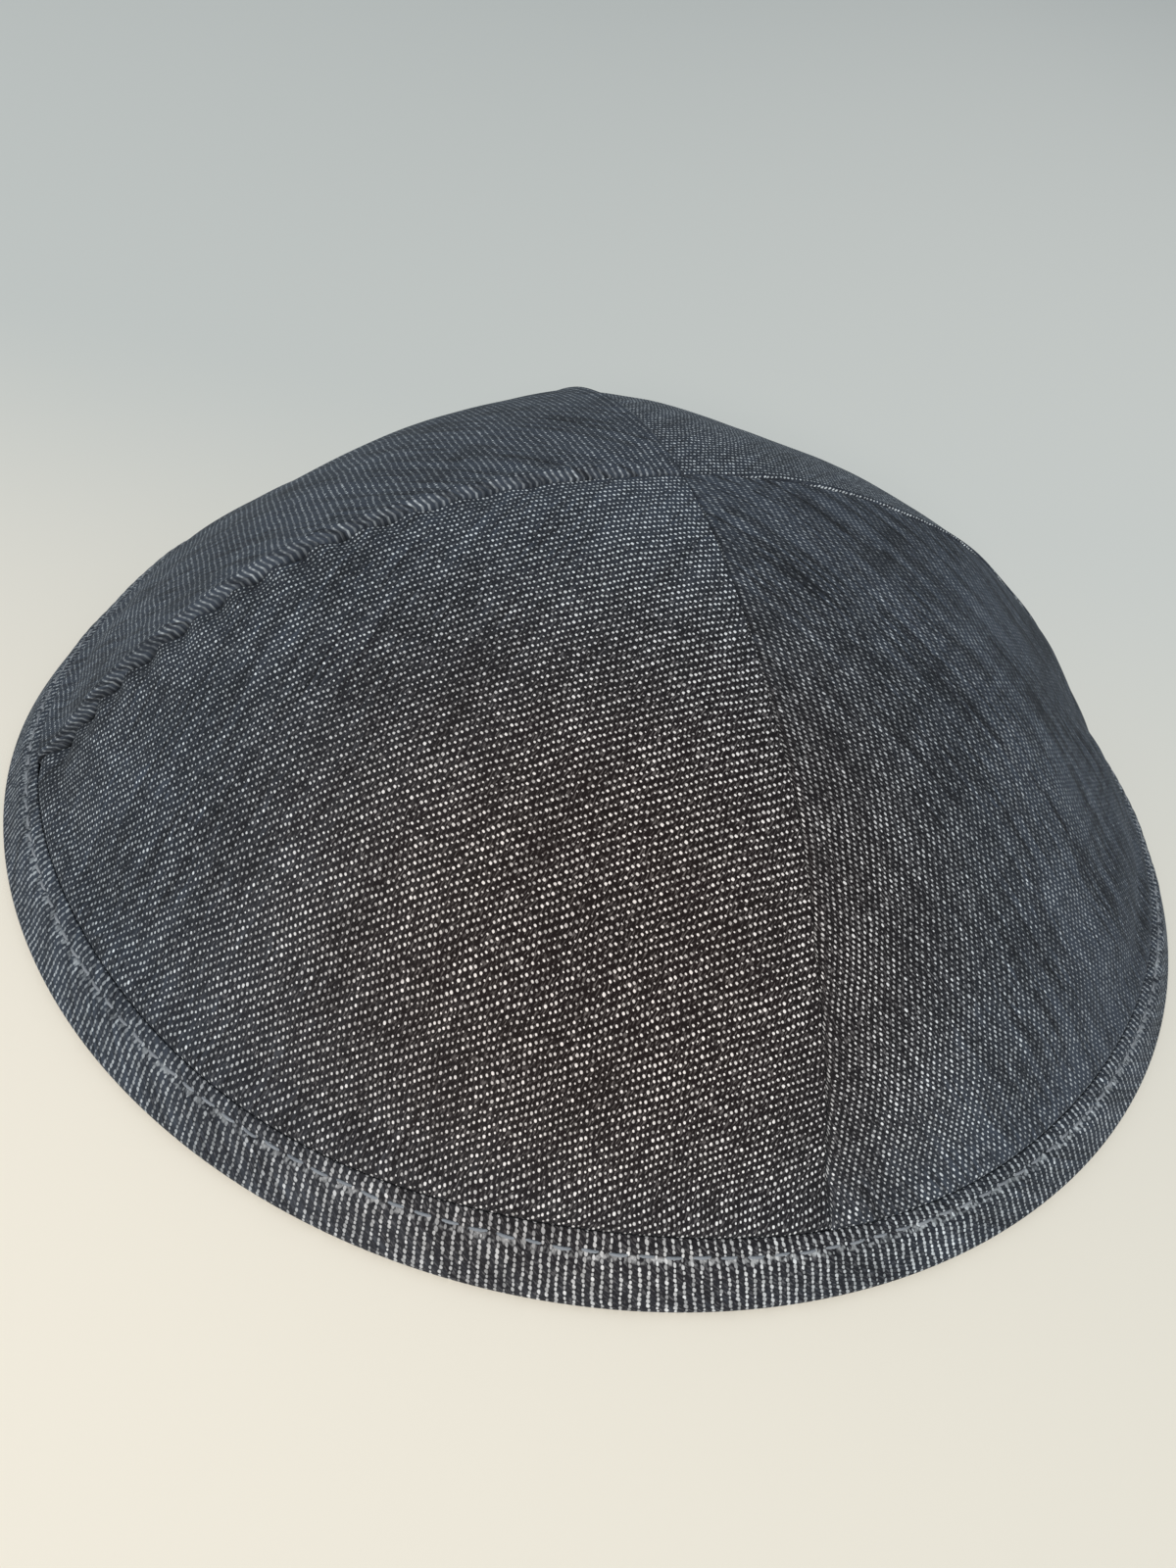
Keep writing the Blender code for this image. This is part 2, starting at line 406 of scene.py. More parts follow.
def soft_folds(azimuth, distance, height):
    """Wandering folds, strongest low down, and the gathers by the right seam."""
    low = smooth(1 - (height - SHOULDER[1]) / FOLDS_TOP)
    folds = np.zeros(low.shape)
    for waves, slant, phase, depth in FOLDS:
        folds += depth * np.sin(waves * azimuth + slant * distance + phase)
    from_gathers = wrapped(azimuth - GATHER_AZIMUTH)
    gathers = GATHER_DEPTH * bell(from_gathers, GATHER_SPREAD) * np.sin(GATHER_WAVES * from_gathers)
    return folds * (FOLDS_ABOVE + (1 - FOLDS_ABOVE) * low) + gathers * low


def edge_puff(azimuth, height):
    """How far the cloth swells out just above the binding's wandering upper edge."""
    from_shoulder = (height - SHOULDER[1]) / SLOPE_UP[1]
    above_edge = from_shoulder + FOLD_RADIUS + (LEAF + CLEARANCE) * SLOPE_OUT[1] / SLOPE_UP[1]
    above_edge = above_edge - edge_wander(azimuth)
    rise = smooth((above_edge - PUFF_START) / PUFF_RISE)
    return PUFF_DEPTH * rise * (1 - smooth((above_edge - PUFF_TOP) / PUFF_FALL))


def ridge_rounding(azimuth, distance):
    """How far the crest of the one rounded seam falls, in the middle of its length."""
    beside = distance * np.sin(wrapped(azimuth - RIDGE_AZIMUTH))
    ahead = np.cos(wrapped(azimuth - RIDGE_AZIMUTH)) > 0
    along = smooth(distance / RIDGE_RISE) * (1 - smooth((distance - RIDGE_FALL_START) / RIDGE_FALL))
    return RIDGE_ROUNDING * bell(beside, RIDGE_SPREAD) * ahead * along


def folded_edge(edge, radius):
    """How far the face falls away over a rounded fold, edge being the distance from it."""
    inside = np.clip(1 - edge / radius, 0, 1)
    return radius * (1 - np.sqrt(1 - inside * inside))


def seam_relief(edge, lift, distance):
    """The face's height beside a seam, and how much of it is the fall into the seam's groove."""
    near_apex = APEX_SEAM_SHARE + (1 - APEX_SEAM_SHARE) * smooth(distance / APEX_SEAM_REACH)
    if lift > 0:
        plateau = 1 - smooth((edge - PLATEAU_START) / PLATEAU_FALL)
        lip = bell(edge - LIP_PLACE, LIP_WIDTH)
        stand = lift * (TURNING_STAND * plateau + LIP_STAND * lip)
        fall = folded_edge(edge, FOLD_EDGE)
    else:
        stand = lift * bell(edge, DIP_WIDTH)
        fall = folded_edge(edge, DIP_EDGE)
    fall = fall + GROOVE_DEPTH * bell(edge, GROOVE_WIDTH)
    return stand * near_apex, fall * near_apex


def fold_share(edge, lift):
    """1 on a turned-in edge, where every weft thread bends over the fold, to 0 beside it."""
    width = TURNED_SHOWN + TURNED_PER_LIFT * lift
    share = 1 - smooth((edge - TURNED_SOLID * width) / width)
    return share * smooth(lift / TURNED_FULL_LIFT)


def cloth_coordinates(azimuth, middle, distance):
    """Weft and warp coordinates: how far each point lies beside the gore's middle line and down it.

    The middle line's lean is smoothed before each point's foot on it is found.
    The last line lengthens a chord to the arc that a circle of CROSS_CURVE makes over it.
    """
    points = bare_surface(azimuth, middle, distance, inset=0.0)
    down = np.linspace(0, lowest_distance(), LINE_STEPS)
    line = bare_surface(np.full(down.shape, middle), middle, down, inset=0.0)
    ahead = np.array((math.cos(middle), math.sin(middle)))
    line = np.column_stack((line[:, :2] @ ahead, line[:, 2]))
    steps = np.diff(line, axis=0)
    lengths = np.linalg.norm(steps, axis=1)
    path = np.concatenate(([0.0], np.cumsum(lengths)))
    lean = np.arctan2(steps[:, 1], steps[:, 0])
    lean = np.append(lean, lean[-1])
    window = np.full(2 * LEAN_WINDOW + 1, 1 / (2 * LEAN_WINDOW + 1))
    for _ in range(3):
        lean = np.convolve(np.pad(lean, LEAN_WINDOW, mode="edge"), window, mode="valid")
    tangents = np.column_stack((np.cos(lean), np.sin(lean)))
    beside = points[..., 1] * ahead[0] - points[..., 0] * ahead[1]
    places = np.stack((points[..., :2] @ ahead, points[..., 2]), axis=-1)
    foot = np.empty(beside.shape)
    depth = np.empty(beside.shape)
    for row, row_places in enumerate(places):
        past = row_places @ tangents.T - np.sum(line * tangents, axis=1)
        index = np.clip(np.sum(past > 0, axis=1) - 1, 0, len(line) - 2)
        here = past[np.arange(len(index)), index]
        following = past[np.arange(len(index)), index + 1]
        share = np.clip(here / np.maximum(here - following, 1e-9), 0, 1)
        foot[row] = path[index] + share * lengths[index]
        nearest = line[index] + share[:, None] * steps[index]
        depth[row] = np.linalg.norm(row_places - nearest, axis=1)
    chord = np.hypot(beside, depth)
    weft = np.sign(beside) * chord * (1 + (chord / CROSS_CURVE) ** 2 / 24)
    return weft, foot


def lowest_distance():
    return float(np.interp(-GORE_END_HEIGHT, -LINE_HEIGHT, LINE_DISTANCE))


def gore_columns(middle):
    """Azimuths across a gore, crowded towards its two seams."""
    half = GORE_COLUMNS // 2
    share = (np.arange(half + 1) / half) ** 2
    low = -QUARTER / 2 + share * QUARTER / 2
    return middle + np.concatenate((low, -low[-2::-1]))


def closed_sheet(name, outer, inner, flat_outer, material):
    """A closed cloth wall from two grids of points, with its cloth coordinates as a UV map."""
    rows, columns = outer.shape[:2]
    count = rows * columns
    index = np.arange(count).reshape(rows, columns)
    corners = (index[:-1, :-1], index[1:, :-1], index[1:, 1:], index[:-1, 1:])
    quads = np.stack(corners, axis=-1).reshape(-1, 4)
    ring = np.concatenate((index[:, 0], index[-1, 1:], index[-2::-1, -1], index[0, -2:0:-1]))
    following = np.roll(ring, -1)
    edge = np.stack((ring, ring + count, following + count, following), axis=-1)
    faces = np.vstack((quads, quads[:, ::-1] + count, edge))
    points = np.vstack((outer.reshape(-1, 3), inner.reshape(-1, 3)))
    flat = np.vstack((flat_outer.reshape(-1, 2), flat_outer.reshape(-1, 2)))
    return cloth_object(name, points, faces, flat[faces], material)


def cloth_object(name, points, faces, flat, material):
    """A mesh object from arrays of points, four-cornered faces and their cloth coordinates."""
    mesh = bpy.data.meshes.new(name)
    mesh.vertices.add(len(points))
    mesh.vertices.foreach_set("co", points.astype(np.float32).ravel())
    mesh.loops.add(faces.size)
    mesh.loops.foreach_set("vertex_index", faces.astype(np.int32).ravel())
    mesh.polygons.add(len(faces))
    mesh.polygons.foreach_set("loop_start", np.arange(0, faces.size, faces.shape[1], dtype=np.int32))
    mesh.update(calc_edges=True)
    mesh.uv_layers.new(name="cloth").data.foreach_set("uv", flat.astype(np.float32).ravel())
    mesh.validate()
    mesh.shade_smooth()
    mesh.materials.append(material)
    thing = bpy.data.objects.new(name, mesh)
    bpy.context.scene.collection.objects.link(thing)
    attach(thing, "root")
    return thing


def make_gore(node, middle, low_lift, high_lift, material):
    """One gore's cloth wall with its turnings, in place of its node."""
    middle = math.radians(middle)
    share = np.arange(GORE_ROWS) / (GORE_ROWS - 1)
    share = share * (1 - ROW_CROWDING * share ** 2) / (1 - ROW_CROWDING)
    distance = FIRST_ROW + (lowest_distance() - FIRST_ROW) * share
    azimuth, distance = np.meshgrid(gore_columns(middle), distance)
    bare = bare_surface(azimuth, middle, distance)
    normals = surface_normals(azimuth, middle, np.maximum(distance, FACING_START))
    radius = np.hypot(bare[..., 0] - APEX_SHIFT.x, bare[..., 1] - APEX_SHIFT.y)
    radius = np.where(distance < APEX_REACH / 2, radius, np.hypot(bare[..., 0], bare[..., 1]))
    height = bare[..., 2]
    low_edge = radius * np.sin(azimuth - middle + QUARTER / 2)
    high_edge = radius * np.sin(QUARTER / 2 - azimuth + middle)
    above_binding = smooth((height - SHOULDER[1] + LEAVES_BINDING) / LEAVING_REACH)

    low_stand, low_fall = seam_relief(low_edge, low_lift, distance)
    high_stand, high_fall = seam_relief(high_edge, high_lift, distance)
    relief = dent_depth(azimuth, height) + soft_folds(azimuth, distance, height) * above_binding
    relief = relief + edge_puff(azimuth, height) - ridge_rounding(azimuth, distance)
    seams = low_stand + high_stand - low_fall - high_fall
    if node == "panel_front":
        waves = 0.5 + 0.5 * np.sin(2 * math.pi * distance / PUCKER_PITCH)
        puckers = PUCKER_DEPTH * bell(low_edge, PUCKER_WIDTH) * waves
        seams = seams - puckers * smooth(distance / PUCKER_REACH)
    relief = relief + seams * (SEAM_UNDER_BINDING + (1 - SEAM_UNDER_BINDING) * above_binding)
    outer = bare + normals * relief[..., None]

    nearest = np.minimum(low_edge, high_edge)
    turned = (1 - smooth((nearest - TURNING_WIDTH) / TURNING_SOFTNESS)) * above_binding
    wall = WALL + TURNING_THICKNESS * turned
    wall = wall + np.minimum(seams, 0) * above_binding * WALL_BY_DIP
    inner = outer - normals * wall[..., None]
    inward = np.array((math.cos(middle), math.sin(middle), 0.0)) * SEAM_GAP * 1.5

    weft, warp = cloth_coordinates(azimuth, middle, distance)
    weft = weft - low_fall + high_fall
    flat = np.stack((weft, -warp), axis=-1)
    fold = fold_share(high_edge, high_lift)
    piece = closed_sheet(node + "_denim", outer + inward, inner + inward, flat, material)
    attribute = piece.data.attributes.new("fold", "FLOAT", "POINT")
    attribute.data.foreach_set("value", np.tile(fold.ravel(), 2).astype(np.float32))
    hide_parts(node)
    return piece


# The binding

def binding_section():
    """The folded strip's section, from its upper edge down the outer face, round and back up inside.

    Returns each point's radius and height, its share of the outer face's relief
    and its share of the upper edge's wander.
    """
    inner_face = LEAF + CLEARANCE + CLOTH + CLEARANCE
    depth = inner_face + LEAF
    points = []
    reliefs = []
    wanders = []

    def add(point, relief=0.0, wander=0.0):
        points.append(point)
        reliefs.append(relief)
        wanders.append(wander)

    def place(offset, along):
        return SIDE_START + SLOPE_UP * along - SLOPE_OUT * offset

    middle = (LEAF + EDGE_TUCK) / 2
    for step in range(LEAF_EDGE_STEPS + 1):
        turn = math.pi * step / LEAF_EDGE_STEPS
        offset = middle + EDGE_ROUND * math.cos(turn)
        add(place(offset, BINDING_TOP + EDGE_ROUND * math.sin(turn)), 0.0, 1.0)
    for step in range(1, OUTER_STEPS):
        share = 1 - step / OUTER_STEPS
        along = BINDING_TOP * share
        tuck = EDGE_TUCK * float(smooth(1 - (BINDING_TOP - along) / EDGE_TUCK_REACH))
        add(place(tuck, along), 1.0, share ** 3)
    for step in range(BEND_STEPS + 1):
        turn = QUARTER - RIM_LEAN - step / BEND_STEPS * (math.pi - RIM_LEAN)
        add(FOLD_CENTRE + FOLD_RADIUS * np.array((math.cos(turn), math.sin(turn))))
    bottom_inner = place(depth, 0.0)
    bottom_inner = bottom_inner - SLOPE_UP * (bottom_inner[1] / SLOPE_UP[1])
    add(bottom_inner + np.array((FOLD_RADIUS, 0.0)))
    for lift in HEEL_LEVELS:
        aside = np.array((FOLD_RADIUS * HEEL_ROUNDING * (HEEL_LEVELS[-1] - lift), 0.0))
        add(bottom_inner + SLOPE_UP * FOLD_RADIUS * lift + aside)
    inner_low = bottom_inner + SLOPE_UP * FOLD_RADIUS
    for step in range(1, INNER_STEPS + 1):
        add(inner_low + (place(depth, BINDING_TOP) - inner_low) * step / INNER_STEPS)
    for step in range(1, LEAF_EDGE_STEPS):
        turn = math.pi * step / LEAF_EDGE_STEPS
        offset = depth - LEAF / 2 + LEAF / 2 * math.cos(turn)
        add(place(offset, BINDING_TOP + LEAF / 2 * math.sin(turn)))
    for offset in (inner_face, LEAF):
        foot = place(offset, 0.0)
        foot = foot + SLOPE_UP * ((LEAF - foot[1]) / SLOPE_UP[1])
        head = place(offset, BINDING_TOP)
        outward = offset == LEAF
        first, last = (foot, head) if outward else (head, foot)
        for step in range(HIDDEN_STEPS + 1):
            share = step / HIDDEN_STEPS
            add(first + (last - first) * step / HIDDEN_STEPS, 0.0, share ** 3 if outward else 0.0)
    return np.array(points), np.array(reliefs), np.array(wanders)


def edge_wander(azimuth):
    return EDGE_RAISE + EDGE_WANDER * np.cos(EDGE_WAVES * (azimuth + EDGE_PHASE))


def binding_relief(along, azimuth):
    """The outer face's swell between its edges and the dip along the stitches."""
    to_hole = np.abs((azimuth / STITCH_TURN + 0.5) % 1 - 0.5) * STITCH_TURN * RIM_RADIUS
    hole = bell(to_hole, DIP_SPREAD)
    upper = np.clip((along - STITCH_ROW) / (BINDING_TOP - STITCH_ROW), 0, 1)
    lower = np.clip(along / STITCH_ROW, 0, 1)
    puff = UPPER_SWELL * np.sin(math.pi * upper) + LOWER_SWELL * np.sin(math.pi * lower ** 2)
    dip = (STITCH_DIP + HOLE_DIP * hole) * bell(along - STITCH_ROW, DIP_SPREAD)
    wander = sum(depth * np.sin(waves * azimuth + phase) for waves, phase, depth in BINDING_WAVES)
    wander = wander * np.sin(math.pi * np.clip(along / BINDING_TOP, 0, 1))
    return puff * (1 - HOLE_FLATTENS * hole) - dip + wander


def around_axis(section_place, azimuth):
    """Points in space from radius and height, with the rim's bow."""
    height = section_place[..., 1]
    radius = section_place[..., 0] - rim_bow(azimuth, height)
    return np.stack((radius * np.cos(azimuth), radius * np.sin(azimuth), height), axis=-1)


def make_binding(material):
    """The folded strip all the way round, in place of its node."""
    section, takes, wanders = binding_section()
    columns = BINDING_STITCHES * COLUMNS_PER_STITCH
    azimuth = (np.arange(columns) / columns * 2 * math.pi)[None, :]
    along = ((section - SIDE_START) @ SLOPE_UP)[:, None]
    relief = takes[:, None] * binding_relief(along, azimuth)
    raised = wanders[:, None] * edge_wander(azimuth)
    places = section[:, None, :] + relief[..., None] * SLOPE_OUT + raised[..., None] * SLOPE_UP
    points = around_axis(places, np.broadcast_to(azimuth, relief.shape))
    rows = len(section)
    here = np.arange(rows * columns).reshape(rows, columns)
    beside = np.roll(here, -1, axis=1)
    below = np.roll(here, -1, axis=0)
    corner = np.roll(beside, -1, axis=0)
    faces = np.stack((here, below, corner, beside), axis=-1).reshape(-1, 4)
    closed = np.vstack((section, section[:1]))
    path = np.concatenate(([0.0], np.cumsum(np.linalg.norm(np.diff(closed, axis=0), axis=1))))
    turns = np.arange(columns + 1) / columns * 2 * math.pi * RIM_RADIUS
    corners = []
    for row_step, column_step in ((0, 0), (1, 0), (1, 1), (0, 1)):
        down = path[row_step:rows + row_step]
        round_rim = turns[column_step:columns + column_step]
        corners.append(np.stack(np.broadcast_arrays(round_rim[None, :], -down[:, None]), axis=-1))
    flat = np.stack(corners, axis=2).reshape(-1, 4, 2)
    piece = cloth_object("rim_binding_denim", points.reshape(-1, 3), faces, flat, material)
    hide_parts("rim_binding")
    return piece


def make_stitches(material):
    """One joined mesh of short twisted threads that dive into the cloth at both ends."""
    share = np.linspace(0, 1, THREAD_RINGS)
    around = np.arange(THREAD_SIDES) / THREAD_SIDES * 2 * math.pi
    arch = np.sin(math.pi * share)
    corners = np.arange(THREAD_RINGS * THREAD_SIDES)
    shown = STITCH_SHOWN * STITCH_TURN
    points = []
    faces = []
    random = np.random.default_rng(STITCH_SEED)
    for number in range(BINDING_STITCHES):
        azimuth = (number + (1 - STITCH_SHOWN) / 2) * STITCH_TURN + share * shown
        lift = STITCH_ARCH * arch ** 0.5 - STITCH_SINK + random.normal(0, CHANCE_LIFT)
        slant = random.normal(0, CHANCE_SLANT)
        slope = STITCH_ROW + slant * (share - 0.5) * 2 + random.normal(0, CHANCE_SHIFT)
        base = binding_relief(slope, azimuth) + THREAD_RADIUS * lift
        twist = share * shown * RIM_RADIUS / THREAD_TWIST * 2 * math.pi
        lobes = 1 + THREAD_LOBES * np.cos(2 * (around[None, :] - twist[:, None]))
        radius = THREAD_RADIUS * lobes * (STITCH_END + (1 - STITCH_END) * arch)[:, None]
        out = base[:, None] + radius * np.cos(around)
        up = slope[:, None] + radius * np.sin(around) + edge_wander(azimuth)[:, None] * STITCH_WANDER
        place = SIDE_START + out[..., None] * SLOPE_OUT + up[..., None] * SLOPE_UP
        points.append(around_axis(place, np.broadcast_to(azimuth[:, None], out.shape)).reshape(-1, 3))
        index = number * len(corners) + corners.reshape(THREAD_RINGS, THREAD_SIDES)
        beside = np.roll(index, -1, axis=1)
        quads = (index[:-1], beside[:-1], beside[1:], index[1:])
        faces.append(np.stack(quads, axis=-1).reshape(-1, 4))
        for ring, step in ((index[0], -1), (index[-1], 1)):
            ordered = ring[::step]
            for side in range(THREAD_SIDES // 2 - 1):
                cap = (ordered[side], ordered[side + 1], ordered[-2 - side], ordered[-1 - side])
                faces.append(np.array([cap]))
    faces = np.vstack(faces)
    flat = np.zeros((len(faces), 4, 2))
    piece = cloth_object("binding_stitches", np.vstack(points), faces, flat, material)
    return piece


# Materials

class Graph:
    """Short calls for building a material's nodes."""

    def __init__(self, name):
        self.material = bpy.data.materials.new(name)
        self.material.use_nodes = True
        self.nodes = self.material.node_tree.nodes
        self.links = self.material.node_tree.links
        self.shader = self.nodes["Principled BSDF"]

    def feed(self, socket, value):
        if isinstance(value, bpy.types.NodeSocket):
            self.links.new(value, socket)
        else:
            socket.default_value = value

    def math(self, operation, *values, clamp=False):
        node = self.nodes.new("ShaderNodeMath")
        node.operation = operation
        node.use_clamp = clamp
        for socket, value in zip(node.inputs, values):
            self.feed(socket, value)
        return node.outputs[0]

    def times(self, first, second):
        return self.math("MULTIPLY", first, second)

    def plus(self, first, second):
        return self.math("ADD", first, second)

    def minus(self, first, second):
        return self.math("SUBTRACT", first, second)

    def centred(self, value, amount):
        """A value that runs from 0 to 1, made to swing about 0."""
        return self.times(self.minus(value, 0.5), amount)

    def smoothstep(self, value, low, high):
        node = self.nodes.new("ShaderNodeMapRange")
        node.interpolation_type = "SMOOTHSTEP"
        self.feed(node.inputs["Value"], value)
        node.inputs["From Min"].default_value = low
        node.inputs["From Max"].default_value = high
        return node.outputs["Result"]

    def vector(self, x, y, z=0.0):
        node = self.nodes.new("ShaderNodeCombineXYZ")
        for socket, value in zip(node.inputs, (x, y, z)):
            self.feed(socket, value)
        return node.outputs[0]

    def split(self, value):
        node = self.nodes.new("ShaderNodeSeparateXYZ")
        self.feed(node.inputs[0], value)
        return node.outputs

    def away_from(self, place):
        node = self.nodes.new("ShaderNodeVectorMath")
        node.operation = "DISTANCE"
        self.feed(node.inputs[0], self.nodes.new("ShaderNodeTexCoord").outputs["Object"])
        node.inputs[1].default_value = place
        return node.outputs["Value"]

    def noise(self, vector, scale, detail=2.0):
        node = self.nodes.new("ShaderNodeTexNoise")
        self.feed(node.inputs["Vector"], vector)
        node.inputs["Scale"].default_value = scale
        node.inputs["Detail"].default_value = detail
        return node.outputs["Fac"]

    def cloth_noise(self, a, b, a_scale, b_scale, seed, detail):
        """Noise with its own scale along each cloth coordinate."""
        place = self.vector(self.times(a, a_scale), self.times(b, b_scale), seed)
        return self.noise(place, 1.0, detail)

    def random(self, vector):
        node = self.nodes.new("ShaderNodeTexWhiteNoise")
        self.feed(node.inputs["Vector"], vector)
        return self.split(node.outputs["Color"])

    def mix(self, share, first, second):
        node = self.nodes.new("ShaderNodeMix")
        node.data_type = "RGBA"
        self.feed(node.inputs[0], share)
        self.feed(node.inputs[6], first)
        self.feed(node.inputs[7], second)
        return node.outputs[2]

    def bump(self, height, distance, strength=1.0):
        node = self.nodes.new("ShaderNodeBump")
        self.feed(node.inputs["Height"], height)
        node.inputs["Distance"].default_value = distance
        node.inputs["Strength"].default_value = strength
        self.links.new(node.outputs[0], self.shader.inputs["Normal"])

    def finish(self, colour, roughness, specular):
        self.feed(self.shader.inputs["Base Color"], colour)
        self.shader.inputs["Roughness"].default_value = roughness
        self.shader.inputs["Specular IOR Level"].default_value = specular
        return self.material


# Colours of the threads: the blue-black warp, its hairs, the pale weft and a painted sheen, a bluish
# veil over them.
# The cloth is painted a little warmer round one place in front, a painted pool of warm light, and the
# painted sheen is left off round another
WARP_COOL = (0.0095, 0.0110, 0.0140, 1)
WARP_WARM = (0.0110, 0.0080, 0.0080, 1)
HAIR_COOL = (0.085, 0.092, 0.105, 1)
HAIR_WARM = (0.100, 0.088, 0.086, 1)
WEFT_COOL = (0.57, 0.63, 0.68, 1)
WEFT_WARM = (0.65, 0.61, 0.60, 1)
SHEEN_VEIL_COOL = (0.039, 0.049, 0.067, 1)
SHEEN_VEIL_WARM = (0.048, 0.045, 0.046, 1)
SHEEN_TINT = (0.62, 0.74, 0.88, 1)
WARM_LIGHT_PLACE = (-25 * MM, -56 * MM, 27 * MM)
WARM_LIGHT_NEAR = 10 * MM
WARM_LIGHT_FAR = 58 * MM
SHEEN_FREE_PLACE = (-8 * MM, -58 * MM, 30 * MM)
SHEEN_FREE_NEAR = 15 * MM
SHEEN_FREE_FAR = 75 * MM

# Noises in the cloth. Columns: scale along the weft, scale along the warp, seed, detail.
# At the scale THREAD_APART two neighbouring threads have nothing in common
THREAD_APART = 3.7
WARP_SWAY = (THREAD_APART, 0.35, 13.0, 1.0)
WEFT_SWAY = (0.35, THREAD_APART, 17.0, 1.0)
WEFT_THICKNESS = (0.16, THREAD_APART, 11.0, 1.0)
WARP_STREAK = (THREAD_APART, 0.07, 3.0, 1.0)
BROAD_WARP = (0.45, 0.033, 5.0, 2.0)
BROAD_WEFT = (0.033, 0.5, 7.0, 2.0)
SLUB = (1.1, 0.22, 23.0, 1.0)
HAIR = (5.2, 1.1, 5.0, 2.0)
FINE_FIBRE = (11.0, 3.0, 6.0, 1.0)
TUFT_PATCHES = (1.4, 1.0, 19.0, 1.0)
CLOUD_SCALE = 0.06
DRIFT_SCALE = 0.11
CLOUD_SEED = 2.0
DRIFT_SEED = 9.0
BRIGHT_SEED = 5.0
TOOTH_SEED = 3.0

# How far the threads wander, in millimetres: a dot's own share, then what its thread shares
DRIFT = 0.9
JITTER_A = (0.12, 0.16)
JITTER_B = (0.15, 0.20)

# A dot's size: its least, what its thread adds and what chance adds.
# Its outline is a squarish oval. Each pair below is where a soft edge starts and ends
DOT_LEAST = 0.27
DOT_BY_THREAD = 0.80
DOT_BY_CHANCE = 0.56
DOT_POWER = 2.4
DOT_EDGE = (0.70, 1.25)
DOT_SURROUND = (1.05, 1.9)
TOOTH_EDGE = (-0.2, 1.0)
HAIR_EDGE = (0.49, 0.74)
SLUB_EDGE = (0.58, 0.74)
TUFT_BAND = (0.1, 0.45)
TUFT_EDGE = (0.46, 0.60)

# The weft on a turned-in edge shows as teeth: the least, what chance adds, and the shares
# that are plain and that follow the dots. A dot's shine and a tuft are made up likewise
TOOTH_LEAST = 0.25
TOOTH_BY_CHANCE = 0.6
TOOTH_PLAIN = 0.6
TOOTH_BY_DOT = 0.4
SHINE_LEAST = 0.42
SHINE_BY_FIBRE = 0.5
SHINE_BY_CHANCE = 0.66
TUFT_LEAST = 0.25
TUFT_BY_FIBRE = 0.9

# The weave's relief: its depth, and the shares of the warp's ribs and of the hairs in it
WEAVE_DEPTH = 0.08 * MM
WEAVE_STRENGTH = 0.6
RIB_SHARE = 0.5
HAIR_SHARE = 0.2

# Heights on a gore, in millimetres down from the apex, between which a look changes
SWING_HEIGHTS = (-90.0, -50.0)
CROWN_HEIGHTS = (-42.0, -8.0)

# The tone of the cloth: the shares of the four noises in its streaks, their middle and gains,
# and how much the painted sheen, a bluish veil like that of grazing light on fuzz, covers
STREAK_SHARES = (0.42, 0.34, 0.15, 0.20)
STREAK_MIDDLE = 0.565
STREAK_GAIN = 5.0
SLUB_GAIN = 0.8
SHEEN_ON_WARP = 0.7
SHEEN_ON_WEFT = 0.52


